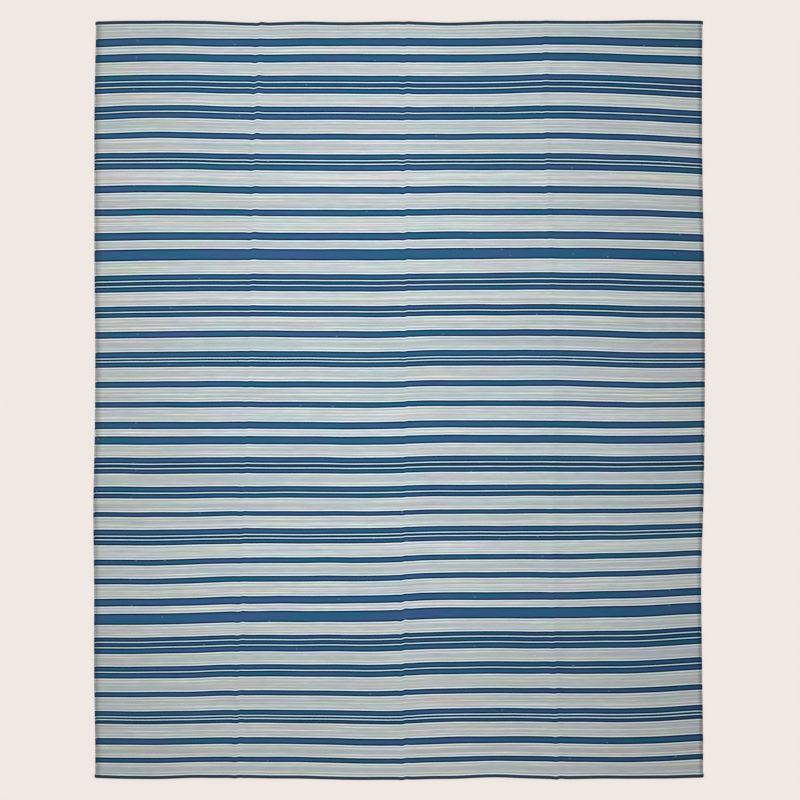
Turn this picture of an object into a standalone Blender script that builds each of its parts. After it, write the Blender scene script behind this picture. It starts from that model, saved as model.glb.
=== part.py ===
"""Striped flat-woven camp blanket, spread out flat.

The cloth lies in the XY plane: its width (the direction of the stripes) along X, its length (the
warp) along Y, its underside on Z = 0. The origin is under the middle of the cloth.

The pieces, from the middle outwards:
  woven_field                 the cloth itself, with its two raw ends pressed thin under the tape
  left/right_selvedge         the bundle of strong warp cords that the weft turns round
  head/foot_binding           the tape that is folded over each raw end
  head/foot_needle_thread     the upper thread of the lockstitch seam through each tape
  head/foot_bobbin_thread     the lower thread of the same seam
"""

import math

import bmesh
import bpy
from mathutils import Vector

# ---- driving dimensions, in metres ----

LENGTH = 2.032  # over both end bindings
WIDTH = 1.634  # over both selvedges
CLOTH_THICKNESS = 0.0025
TONGUE_THICKNESS = 0.0012  # the cloth where the tape presses it flat
SELVEDGE_DIAMETER = 0.0034
TAPE_THICKNESS = 0.0011  # a lip of the binding: the tape with its raw edge turned under
BINDING_DEPTH = 0.0090  # from the fold of the tape to the edges of its lips
BINDING_OVERHANG = 0.0012  # how far the tape's end stands past the selvedge
THREAD_DIAMETER = 0.0004
SEAM_INSET = 0.0024  # from the edge of a lip to the middle of its seam
THREAD_END_INSET = 0.0040  # from the end of the tape to the end of the thread

GAP = 0.0003  # clearance between neighbouring pieces
SINK = 0.00002  # how far a thread lies below the face of the tape
SHOULDER_RUN = 0.0040  # length of the slope from full cloth to pressed cloth

FOLD_STEPS = 8  # facets of the tape's outer fold
SELVEDGE_SIDES = 16
THREAD_SIDES = 8

# ---- places worked out from them ----

TONGUE_BOTTOM = TAPE_THICKNESS + GAP
TONGUE_TOP = TONGUE_BOTTOM + TONGUE_THICKNESS
TONGUE_MIDDLE = (TONGUE_BOTTOM + TONGUE_TOP) / 2
BINDING_HEIGHT = 2 * TAPE_THICKNESS + 2 * GAP + TONGUE_THICKNESS
LIP_EDGE_Y = LENGTH / 2 - BINDING_DEPTH
TONGUE_END_Y = LENGTH / 2 - TAPE_THICKNESS - GAP
TONGUE_START_Y = LIP_EDGE_Y - GAP
SLAB_END_Y = TONGUE_START_Y - SHOULDER_RUN
SEAM_Y = LIP_EDGE_Y + SEAM_INSET
SELVEDGE_X = (WIDTH - SELVEDGE_DIAMETER) / 2
FIELD_HALF_WIDTH = WIDTH / 2 - SELVEDGE_DIAMETER - GAP
BINDING_HALF_WIDTH = WIDTH / 2 + BINDING_OVERHANG
THREAD_HALF_LENGTH = BINDING_HALF_WIDTH - THREAD_END_INSET
CHANNEL_DEPTH = THREAD_DIAMETER + GAP + SINK
CHANNEL_HALF_WIDTH = THREAD_DIAMETER / 2 + GAP
LOWER_THREAD_Z = SINK + THREAD_DIAMETER / 2
UPPER_THREAD_Z = BINDING_HEIGHT - LOWER_THREAD_Z

# ---- finishes: colour (linear), roughness, metallic ----

BLUE_CLOTH = ("blue_striped_cloth", (0.10, 0.20, 0.33, 1.0), 0.92, 0.0)
NAVY_TAPE = ("navy_tape", (0.035, 0.065, 0.115, 1.0), 0.85, 0.0)
GREY_CORD = ("undyed_cord", (0.32, 0.34, 0.34, 1.0), 0.90, 0.0)
NAVY_THREAD = ("navy_thread", (0.03, 0.05, 0.09, 1.0), 0.60, 0.0)


def clear_scene():
    """Remove whatever the file opened with."""
    for thing in list(bpy.data.objects):
        bpy.data.objects.remove(thing, do_unlink=True)


def finish_material(finish):
    """Return the material of a finish, made once."""
    name, colour, roughness, metallic = finish
    material = bpy.data.materials.get(name)
    if material is None:
        material = bpy.data.materials.new(name)
        material.use_nodes = True
        shader = material.node_tree.nodes["Principled BSDF"]
        shader.inputs["Base Color"].default_value = colour
        shader.inputs["Roughness"].default_value = roughness
        shader.inputs["Metallic"].default_value = metallic
    return material


def add_piece(name, mesh_builder, finish, smooth):
    """Turn a bmesh into a named object with its finish."""
    bmesh.ops.recalc_face_normals(mesh_builder, faces=mesh_builder.faces)
    mesh = bpy.data.meshes.new(name)
    mesh_builder.to_mesh(mesh)
    mesh_builder.free()
    if smooth:
        mesh.shade_smooth()
        mesh.set_sharp_from_angle(angle=math.radians(40))
    mesh.materials.append(finish_material(finish))
    piece = bpy.data.objects.new(name, mesh)
    bpy.context.scene.collection.objects.link(piece)
    return piece


def extrude_along_x(section, half_length):
    """Return a closed bar whose (y, z) section runs from -half_length to +half_length in X."""
    bar = bmesh.new()
    corners = [bar.verts.new((-half_length, y, z)) for y, z in section]
    start = bar.faces.new(corners)
    swept = bmesh.ops.extrude_face_region(bar, geom=[start], use_keep_orig=True)
    moved = [item for item in swept["geom"] if isinstance(item, bmesh.types.BMVert)]
    bmesh.ops.translate(bar, verts=moved, vec=(2 * half_length, 0, 0))
    return bar


def loft(rings):
    """Return a closed tube through rings that all have the same number of points."""
    tube = bmesh.new()
    loops = []
    for ring in rings:
        corners = [tube.verts.new(point) for point in ring]
        edges = [tube.edges.new((a, b)) for a, b in zip(corners, corners[1:] + corners[:1])]
        loops.append((corners, edges))
    for (_, edges), (_, next_edges) in zip(loops, loops[1:]):
        bmesh.ops.bridge_loops(tube, edges=edges + next_edges)
    tube.faces.new(loops[0][0])
    tube.faces.new(loops[-1][0])
    return tube


def oval_ring(centre, half_width, half_height, sides):
    """Return the points of an oval that faces along Y."""
    turns = [2 * math.pi * (step + 0.5) / sides for step in range(sides)]
    return [centre + Vector((half_width * math.cos(t), 0, half_height * math.sin(t))) for t in turns]


def make_woven_field():
    """The cloth: a flat slab whose two ends are pressed thin where the tape holds them."""
    upper = [
        (TONGUE_END_Y, TONGUE_BOTTOM),
        (TONGUE_END_Y, TONGUE_TOP),
        (TONGUE_START_Y, TONGUE_TOP),
        (SLAB_END_Y, CLOTH_THICKNESS),
    ]
    lower = [(SLAB_END_Y, 0.0), (TONGUE_START_Y, TONGUE_BOTTOM)]
    head_half = lower + upper
    foot_half = [(-y, z) for y, z in upper[::-1] + lower[::-1]]
    section = head_half + foot_half
    add_piece("woven_field", extrude_along_x(section, FIELD_HALF_WIDTH), BLUE_CLOTH, False)


def make_selvedge(side_name, side):
    """A round bundle of warp cords along one side, pressed flat where it runs into the tape."""
    radius = SELVEDGE_DIAMETER / 2
    stations = [
        (TONGUE_END_Y, TONGUE_MIDDLE, TONGUE_THICKNESS / 2),
        (TONGUE_START_Y, TONGUE_MIDDLE, TONGUE_THICKNESS / 2),
        (SLAB_END_Y, radius, radius),
    ]
    whole = stations + [(-y, z, height) for y, z, height in stations[::-1]]
    rings = [
        oval_ring(Vector((side * SELVEDGE_X, y, z)), radius, height, SELVEDGE_SIDES)
        for y, z, height in whole
    ]
    add_piece(f"{side_name}_selvedge", loft(rings), GREY_CORD, True)


def channel(seam_y, face_z, floor_z):
    """Return the groove that a seam presses into one face of the tape, towards the raw end."""
    return [
        (seam_y - CHANNEL_HALF_WIDTH, face_z),
        (seam_y - CHANNEL_HALF_WIDTH, floor_z),
        (seam_y + CHANNEL_HALF_WIDTH, floor_z),
        (seam_y + CHANNEL_HALF_WIDTH, face_z),
    ]


def make_binding(end_name, end):
    """The tape folded over one raw end, with a groove in each lip for its seam."""
    radius = BINDING_HEIGHT / 2
    fold_y = LENGTH / 2 - radius
    turns = [math.pi * (step / FOLD_STEPS - 0.5) for step in range(FOLD_STEPS + 1)]
    outer_fold = [(fold_y + radius * math.cos(t), radius + radius * math.sin(t)) for t in turns]
    inner_wall = [
        (TONGUE_END_Y + GAP, BINDING_HEIGHT - TAPE_THICKNESS),
        (TONGUE_END_Y + GAP, TAPE_THICKNESS),
    ]
    lower_groove = channel(SEAM_Y, 0.0, CHANNEL_DEPTH)
    upper_groove = channel(SEAM_Y, BINDING_HEIGHT, BINDING_HEIGHT - CHANNEL_DEPTH)[::-1]
    section = (
        [(LIP_EDGE_Y, 0.0)]
        + lower_groove
        + outer_fold
        + upper_groove
        + [(LIP_EDGE_Y, BINDING_HEIGHT), (LIP_EDGE_Y, BINDING_HEIGHT - TAPE_THICKNESS)]
        + inner_wall
        + [(LIP_EDGE_Y, TAPE_THICKNESS)]
    )
    section = [(end * y, z) for y, z in section]
    bar = extrude_along_x(section, BINDING_HALF_WIDTH)
    add_piece(f"{end_name}_binding", bar, NAVY_TAPE, True)


def make_seam_threads(end_name, end):
    """The needle thread in the upper groove and the bobbin thread in the lower one."""
    radius = THREAD_DIAMETER / 2
    for thread_name, height in (("needle", UPPER_THREAD_Z), ("bobbin", LOWER_THREAD_Z)):
        turns = [2 * math.pi * (step + 0.5) / THREAD_SIDES for step in range(THREAD_SIDES)]
        section = [
            (end * SEAM_Y + radius * math.cos(t), height + radius * math.sin(t)) for t in turns
        ]
        bar = extrude_along_x(section, THREAD_HALF_LENGTH)
        add_piece(f"{end_name}_{thread_name}_thread", bar, NAVY_THREAD, True)


def main():
    """Build every piece."""
    clear_scene()
    make_woven_field()
    for side_name, side in (("left", -1), ("right", 1)):
        make_selvedge(side_name, side)
    for end_name, end in (("head", 1), ("foot", -1)):
        make_binding(end_name, end)
        make_seam_threads(end_name, end)


main()
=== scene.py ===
"""Looks of a striped, flat-woven camp blanket that lies spread out on a floor.

Every piece is first made flat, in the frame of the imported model, and then settled: one rule, the
BlanketLay, says how each point of the flat cloth comes to lie (skewed stripes, storage creases,
ripples along the sides), so cloth, selvedges, tape and stitches all move together.
"""

from __future__ import annotations

import logging
import math
from dataclasses import dataclass
from enum import Enum
from itertools import cycle
from typing import Iterable, Sequence

import bpy
import numpy as np
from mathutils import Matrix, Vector, noise


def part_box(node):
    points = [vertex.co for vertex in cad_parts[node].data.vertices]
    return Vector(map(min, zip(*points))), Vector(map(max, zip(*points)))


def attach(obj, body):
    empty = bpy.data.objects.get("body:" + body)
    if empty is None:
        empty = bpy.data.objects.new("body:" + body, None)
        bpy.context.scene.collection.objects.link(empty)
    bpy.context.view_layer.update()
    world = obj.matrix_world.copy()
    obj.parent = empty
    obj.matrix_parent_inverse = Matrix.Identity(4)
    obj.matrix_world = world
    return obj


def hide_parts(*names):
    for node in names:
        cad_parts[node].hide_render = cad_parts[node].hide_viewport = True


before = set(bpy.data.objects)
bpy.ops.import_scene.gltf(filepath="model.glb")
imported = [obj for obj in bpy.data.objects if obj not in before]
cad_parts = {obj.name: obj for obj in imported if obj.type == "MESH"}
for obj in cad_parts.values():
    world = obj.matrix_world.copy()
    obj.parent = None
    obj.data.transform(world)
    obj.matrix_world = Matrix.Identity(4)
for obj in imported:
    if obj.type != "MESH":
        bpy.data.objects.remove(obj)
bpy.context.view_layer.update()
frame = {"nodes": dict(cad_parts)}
LOG = logging.getLogger("camp_blanket")
MM = 0.001
WHITE = (1.0, 1.0, 1.0)
UNIT = (0.0, 1.0)
Span = tuple[float, float]
Triple = tuple[float, float, float]
Colour = Triple
Points = np.ndarray


# ---------------------------------------------------------------------------------------------
# The weaver's draft
# ---------------------------------------------------------------------------------------------


class Yarn(Enum):
    """The weft yarns, by the number that the cloth's faces carry."""

    PALE = 0
    BLUE = 1
    BLEACHED = 2

    def least(self) -> float:
        """Return the least value that counts as this yarn or a later one."""
        return self.value - 0.5


@dataclass(frozen=True)
class WeaversDraft:
    """The order of the weft yarns from the head of the blanket to its foot, in picks.

    A repeat goes blue band, pale ground, blue band, pale ground and so on. A blue band that has
    bleached pins in it lists its parts instead: blue, pin, blue and so on.
    """

    opening: int = 27
    repeats: tuple[tuple[int | tuple[int, ...], ...], ...] = (
        (17, 15, 17, 26, (13, 2, 9, 2, 11), 25, (12, 2, 13), 27,
         13, 28, (12, 2, 5, 2, 13), 31, 15, 31, 14, 32),
        (16, 17, 23, 27, (12, 2, 8, 2, 11), 28, (11, 2, 10), 27,
         14, 27, (13, 2, 4, 2, 11), 28, 13, 28, 12, 28),
        (15, 14, 17, 25, (12, 2, 7, 2, 10), 25, (12, 2, 10), 26,
         10, 24, (12, 2, 5, 2, 10), 27, 12, 25, 12, 28),
        (16, 14, 23, 25, (9, 2, 9, 2, 12), 25, (11, 2, 12), 27,
         11, 28, (11, 2, 4, 2, 8), 28, 14, 25, 11, 25),
    )

    def runs(self) -> list[tuple[Yarn, int]]:
        """Spell the draft out as runs of one yarn.

        Returns:
            (yarn, picks) pairs from head to foot.
        """
        spelled = [(Yarn.PALE, self.opening)]
        for repeat in self.repeats:
            for band, ground in zip(repeat[::2], repeat[1::2]):
                parts = (band,) if isinstance(band, int) else band
                spelled += zip(cycle((Yarn.BLUE, Yarn.BLEACHED)), parts)
                spelled.append((Yarn.PALE, ground))
        return spelled

    def total(self) -> int:
        """Return the number of picks from tape to tape."""
        return sum(picks for _, picks in self.runs())


# ---------------------------------------------------------------------------------------------
# How the blanket lies
# ---------------------------------------------------------------------------------------------


def smooth_step(x: Points) -> Points:
    """Return 0 below 0, 1 above 1 and an S-curve between."""
    x = np.clip(x, 0.0, 1.0)
    return x * x * (3.0 - 2.0 * x)


def hill(x: Points, width: float) -> Points:
    """Return a smooth hill of height 1 around 0 that has all but gone at twice its width."""
    return np.exp(-((x / width) ** 2))


def jog_wave(x: Points) -> Points:
    """Return an odd wave with its trough of -1 at -1, its crest of 1 at 1 and nothing far away."""
    return x * np.exp((1 - x**2) / 2)


def curve_through(places: Sequence[float], values: Points, at: Points) -> Points:
    """Read a smooth curve through values at rising places.

    Args:
        places: where the values hold.
        values: one row per place; each row may hold many curves.
        at: where to read, one place per curve if there are many.

    Returns:
        The value of each curve at its place.
    """
    knots = np.asarray(places, dtype=float)
    values = np.asarray(values, dtype=float)
    if values.ndim == 1:
        values = np.repeat(values[:, None], len(at), axis=1)
    slopes = np.gradient(values, knots, axis=0)
    cell = np.clip(np.searchsorted(knots, at) - 1, 0, len(knots) - 2)
    span = knots[cell + 1] - knots[cell]
    u = np.clip((at - knots[cell]) / span, 0.0, 1.0)
    which = np.arange(len(at))
    start, end = values[cell, which], values[cell + 1, which]
    start_slope, end_slope = slopes[cell, which] * span, slopes[cell + 1, which] * span
    return (
        (2 * u**3 - 3 * u**2 + 1) * start
        + (u**3 - 2 * u**2 + u) * start_slope
        + (3 * u**2 - 2 * u**3) * end
        + (u**3 - u**2) * end_slope
    )


class NoiseLayer(float, Enum):
    """The layer of noise that each unevenness reads; a crease adds its own number to it."""

    ROLL = 1.0
    BULGE = 4.0
    KINK = 7.0
    SIDE = 9.0
    RIDGE = 20.0
    PUCKER = 30.0
    SWAY = 60.0


@dataclass(frozen=True)
class StripeLine:
    """How far the stripes rise towards the head along one line down the blanket.

    across is the line's place as a share of the half width; rises are in millimetres, at the
    stations of BlanketLay from head to foot.
    """

    name: str
    across: float
    rises: tuple[float, ...]


@dataclass(frozen=True)
class StorageCrease:
    """A line down the blanket where it was folded, as a ridge (height > 0) or a hollow.

    across is its place at mid length as a share of the half width, lean how many metres it moves
    to the right for each metre towards the head, and jogs the sizes in millimetres of the small
    jog that it leaves in the stripes, evenly spaced from head to foot.
    """

    name: str
    across: float
    lean: float
    height: float
    width: float
    jogs: tuple[float, ...]


@dataclass(frozen=True)
class Wrinkle:
    """A short soft fold, from start to end, in metres from the middle of the blanket."""

    start: tuple[float, float]
    end: tuple[float, float]
    height: float
    width: float


@dataclass(frozen=True)
class BlanketLay:
    """Where each point of the flat blanket comes to lie.

    The sides' and hems' numbers are millimetres to the right and towards the head, at the
    stations from head to foot and evenly from left to right. Lengths and heights are metres, and
    waves are counted a metre.
    """

    half_width: float
    half_length: float
    first_station: float = 0.98
    station_step: float = 0.21
    left_side: tuple[float, ...] = (4, 0, 0, 0, 2, 1, -3, -1, -1, 2)
    right_side: tuple[float, ...] = (-3, -4, -2, 2, 4, 3, 0, -6, -4, -1)
    lines: tuple[StripeLine, ...] = (
        StripeLine("left side", -1.0, (-3, -1, 2, -4, -3, 0, -1, -7, -5, 0)),
        StripeLine("left panel", -0.82, (0, 4, 4, -1, -1, 0, -2, -7, -5, -1)),
        StripeLine("left crease", -0.5, (-2, 0, 1, 1, 1, 1, 1, 0, 1, 2)),
        StripeLine("inner left panel", -0.26, (0, 0, 0, 0, 0, 0, 1, 1, 1, 0)),
        StripeLine("middle crease", 0.0, (0, -1, 0, 1, 0, 1, 2, 4, 2, -3)),
        StripeLine("past the middle crease", 0.055, (0, -1, 1, 2, 2, 3, 4, 7, 5, -1)),
        StripeLine("inner right panel", 0.33, (0, 0, 2, 4, 4, 4, 6, 11, 9, 4)),
        StripeLine("right crease", 0.5, (4, 3, 2, 5, 4, 4, 7, 11, 9, 3)),
        StripeLine("right panel", 0.82, (-1, -4, -2, 1, -3, 1, 8, 16, 12, 2)),
        StripeLine("right side", 1.0, (-4, -12, -8, -3, -3, 4, 12, 23, 21, 10)),
    )
    head_hem: tuple[float, ...] = (-1, 1, 1, -4, -2, -3, -1, -4, 0, 1, 1, 3, 1)
    foot_hem: tuple[float, ...] = (1, -2, 1, 1, -1, -4, -4, -1, 2, -2, -1, -1, 2)
    hem_reach: float = 50 * MM
    creases: tuple[StorageCrease, ...] = (
        StorageCrease("left crease", -0.498, 0.029, 2.6 * MM, 13 * MM,
                      (1.7, 1.3, 0.5, 0.5, 0.8, 1.1)),
        StorageCrease("middle crease", 0.020, 0.003, -2.2 * MM, 13 * MM,
                      (0.5, 1.2, 0.8, 0.5, 1.1, 1.2)),
        StorageCrease("right crease", 0.500, -0.020, 2.4 * MM, 13 * MM,
                      (0.6, 0.8, 0.2, 0.2, 0.4, 1.3)),
    )
    wrinkles: tuple[Wrinkle, ...] = (
        Wrinkle((0.20, 0.965), (0.235, 1.0), 2.6 * MM, 7 * MM),
        Wrinkle((0.24, -0.13), (0.45, -0.07), 2.2 * MM, 12 * MM),
        Wrinkle((0.10, -0.10), (0.23, -0.12), 1.6 * MM, 10 * MM),
        Wrinkle((-0.44, 0.80), (-0.38, 0.86), 1.8 * MM, 9 * MM),
        Wrinkle((0.36, 0.74), (0.42, 0.93), 2.2 * MM, 11 * MM),
        Wrinkle((-0.46, -0.74), (-0.41, -0.86), 1.8 * MM, 9 * MM),
        Wrinkle((0.36, -0.42), (0.50, -0.47), 1.6 * MM, 10 * MM),
        Wrinkle((-0.30, -0.50), (-0.47, -0.56), 1.5 * MM, 12 * MM),
    )
    roll: float = 1.3 * MM
    roll_waves: Span = (2.6, 1.7)
    panel_bulge: float = 1.8 * MM
    bulge_waves: Span = (3.1, 2.3)
    side_lift: float = 1.6 * MM
    side_reach: float = 0.10
    side_waves: float = 4.5
    ridge_mean: float = 0.7
    ridge_swing: float = 0.5
    ridge_waves: float = 2.4
    pucker: float = 0.8 * MM
    pucker_pitch: float = 0.034
    pucker_spread: float = 2.0
    kink_width: float = 7 * MM
    kink_run: float = 0.13
    kink_swing: float = 1.1
    crest_size: float = 0.8
    crest_shift: float = 9.5
    crest_width: float = 2.0
    sway: float = 1.1 * MM
    sway_run: float = 0.10
    wrinkle_taper: float = 4.0
    hem_hold: float = 0.06
    hem_height: float = 0.35
    slack: float = 0.4 * MM

    def stations(self) -> list[float]:
        """Return the places of the sides' and lines' numbers, from the head down."""
        steps = range(len(self.left_side))
        return [self.station_step * step - self.first_station for step in steps]

    def sideways(self, s: Points, t: Points) -> Points:
        """Return how far points of the flat cloth move along X, in metres."""
        down = -t / self.half_length
        left = curve_through(self.stations(), np.asarray(self.left_side), down)
        right = curve_through(self.stations(), np.asarray(self.right_side), down)
        share = smooth_step((s / self.half_width + 1) / 2)
        return MM * (left * (1 - share) + right * share)

    def lengthways(self, s: Points, t: Points) -> Points:
        """Return how far points of the flat cloth move along Y, in metres."""
        down = -t / self.half_length
        rises = [curve_through(self.stations(), np.asarray(line.rises), down)
                 for line in self.lines]
        across = [line.across for line in self.lines]
        stripes = curve_through(across, np.stack(rises), s / self.half_width)
        even = np.linspace(-1, 1, len(self.head_hem))
        hems = [curve_through(even, np.asarray(hem), s / self.half_width)
                for hem in (self.head_hem, self.foot_hem)]
        hem = np.where(t > 0, *hems)
        share = smooth_step((self.half_length - np.abs(t)) / self.hem_reach)
        return MM * (hem * (1 - share) + stripes * share)

    def from_crease(self, crease: StorageCrease, s: Points, t: Points) -> Points:
        """Return how far points lie to the right of a crease, in metres."""
        return s - crease.across * self.half_width - crease.lean * t

    def kinks(self, s: Points, t: Points) -> Points:
        """Return the sway of the picks and the jogs that creases leave, in metres along Y."""
        total = self.sway * self.ripple(s / self.sway_run, t / self.sway_run, NoiseLayer.SWAY)
        for number, crease in enumerate(self.creases):
            off = self.from_crease(crease, s, t) / self.kink_width
            even = np.linspace(-1, 1, len(crease.jogs))
            size = MM * curve_through(even, np.asarray(crease.jogs), -t / self.half_length)
            along, layer = t / self.kink_run, NoiseLayer.KINK + number
            swing = 1 + self.kink_swing * self.ripple(0 * t, along, layer)
            crest = self.crest_size * self.ripple(0 * t, along + self.crest_shift, layer)
            total += size * (swing * jog_wave(off) + crest * hill(off - 1.0, self.crest_width))
        return total

    def ripple(self, x: Points, y: Points, layer: float) -> Points:
        """Return smooth noise from -1 to 1 at (x, y) of a numbered layer."""
        return np.array([noise.noise(Vector((a, b, layer))) for a, b in zip(x, y)])

    def waves(self, s: Points, t: Points, a_metre: Span, layer: float) -> Points:
        """Return smooth noise from 0 to 1 with so many waves a metre across and along."""
        return (1 + self.ripple(a_metre[0] * s, a_metre[1] * t, layer)) / 2

    def lift(self, s: Points, t: Points) -> Points:
        """Return how high points of the flat cloth are raised off the floor, in metres."""
        height = self.roll * self.waves(s, t, self.roll_waves, NoiseLayer.ROLL)
        away = np.ones_like(s)
        for number, crease in enumerate(self.creases):
            offset = self.from_crease(crease, s, t)
            swing = self.ripple(0 * s, self.ridge_waves * t, NoiseLayer.RIDGE + number)
            strength = self.ridge_mean + self.ridge_swing * swing
            if crease.height > 0:
                height += crease.height * strength * hill(offset, crease.width)
            else:
                away *= 1 - strength.clip(0, 1) * hill(offset, crease.width)
            along, layer = t / self.pucker_pitch, NoiseLayer.PUCKER + number
            wave = 1 + self.ripple(offset / crease.width, along, layer)
            height += self.pucker * wave * hill(offset, self.pucker_spread * crease.width)
        bulge = self.waves(s, t, self.bulge_waves, NoiseLayer.BULGE)
        height += self.panel_bulge * away * bulge
        for side in (-1, 1):
            inside = (self.half_width - side * s) / self.side_reach
            wave = self.waves(0 * s + side, t, (1.0, self.side_waves), NoiseLayer.SIDE)
            height += self.side_lift * np.exp(-np.maximum(inside, 0)) * wave**2
        for wrinkle in self.wrinkles:
            height += self.fold(wrinkle, s, t)
        held = smooth_step((self.half_length - np.abs(t)) / self.hem_hold)
        return height * (self.hem_height + (1 - self.hem_height) * held) - self.slack

    def fold(self, wrinkle: Wrinkle, s: Points, t: Points) -> Points:
        """Return the height that one wrinkle adds.

        Args:
            wrinkle: the wrinkle.
            s: places across, in metres.
            t: places along, in metres.

        Returns:
            Heights in metres.
        """
        start, end = np.array(wrinkle.start), np.array(wrinkle.end)
        run = end - start
        length = np.linalg.norm(run)
        along = ((s - start[0]) * run[0] + (t - start[1]) * run[1]) / length**2
        beside = ((s - start[0]) * run[1] - (t - start[1]) * run[0]) / length
        taper = self.wrinkle_taper
        fade = smooth_step(along * taper + 1) * smooth_step((1 - along) * taper + 1)
        return wrinkle.height * fade * hill(beside, wrinkle.width)

    def settle(self, points: Points) -> Points:
        """Move flat points to where they lie.

        Args:
            points: (n, 3) points of pieces made flat.

        Returns:
            The same points, settled.
        """
        s = np.clip(points[:, 0], -self.half_width, self.half_width)
        t = np.clip(points[:, 1], -self.half_length, self.half_length)
        moved = points.copy()
        moved[:, 0] += self.sideways(s, t)
        moved[:, 1] += self.lengthways(s, t) + self.kinks(s, t)
        moved[:, 2] += self.lift(s, t)
        return moved


# ---------------------------------------------------------------------------------------------
# Mesh tools
# ---------------------------------------------------------------------------------------------


def deselect_everything() -> None:
    """Leave object mode with nothing selected."""
    if bpy.context.object and bpy.context.object.mode != "OBJECT":
        bpy.ops.object.mode_set(mode="OBJECT")
    bpy.ops.object.select_all(action="DESELECT")
    bpy.context.view_layer.objects.active = None


def points_of(mesh: bpy.types.Mesh) -> Points:
    """Return a mesh's vertices as an (n, 3) array."""
    flat = np.empty(len(mesh.vertices) * 3)
    mesh.vertices.foreach_get("co", flat)
    return flat.reshape(-1, 3)


def new_piece(name: str, points: Points, faces: Iterable[Sequence[int]]) -> bpy.types.Object:
    """Make a smooth-shaded mesh object at the origin.

    Args:
        name: the piece's name.
        points: its vertices.
        faces: vertex numbers of each face.

    Returns:
        The new object.
    """
    mesh = bpy.data.meshes.new(name)
    mesh.from_pydata(points.tolist(), [], list(faces))
    mesh.validate(clean_customdata=False)
    mesh.shade_smooth()
    piece = bpy.data.objects.new(name, mesh)
    bpy.context.scene.collection.objects.link(piece)
    return piece


def tube_faces(rings: int, sides: int) -> list[tuple[int, ...]]:
    """Return the faces of a closed tube through rings of points, with flat ends."""
    faces = [
        (
            ring * sides + side,
            ring * sides + (side + 1) % sides,
            (ring + 1) * sides + (side + 1) % sides,
            (ring + 1) * sides + side,
        )
        for ring in range(rings - 1)
        for side in range(sides)
    ]
    last = (rings - 1) * sides
    faces.append(tuple(reversed(range(sides))))
    faces.append(tuple(range(last, last + sides)))
    return faces


def number_faces(mesh: bpy.types.Mesh, name: str, values: Sequence[float]) -> None:
    """Store one number per face under a name."""
    mesh.attributes.new(name, "FLOAT", "FACE").data.foreach_set("value", np.asarray(values, float))


def number_points(mesh: bpy.types.Mesh, name: str, values: Sequence[float]) -> None:
    """Store one number per vertex under a name."""
    mesh.attributes.new(name, "FLOAT", "POINT").data.foreach_set("value", np.asarray(values, float))


def map_threads(mesh: bpy.types.Mesh, across: Points, picks: Points) -> None:
    """Give a mesh the cloth's own coordinates as its UV map.

    Args:
        mesh: the mesh.
        across: each vertex's place along the weft, in metres.
        picks: each vertex's place along the warp, in picks from the head tape.
    """
    layer = mesh.uv_layers.new(name=THREAD_MAP)
    corner_vertex = np.empty(len(mesh.loops), dtype=np.int32)
    mesh.loops.foreach_get("vertex_index", corner_vertex)
    pairs = np.stack([across[corner_vertex], picks[corner_vertex]], axis=1)
    layer.uv.foreach_set("vector", pairs.ravel().astype(np.float32))


# ---------------------------------------------------------------------------------------------
# Finishes
# ---------------------------------------------------------------------------------------------

THREAD_MAP = "threads"
YARN_NUMBER = "weft_yarn"
EDGE_DISTANCE = "picks_from_edge"


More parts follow.
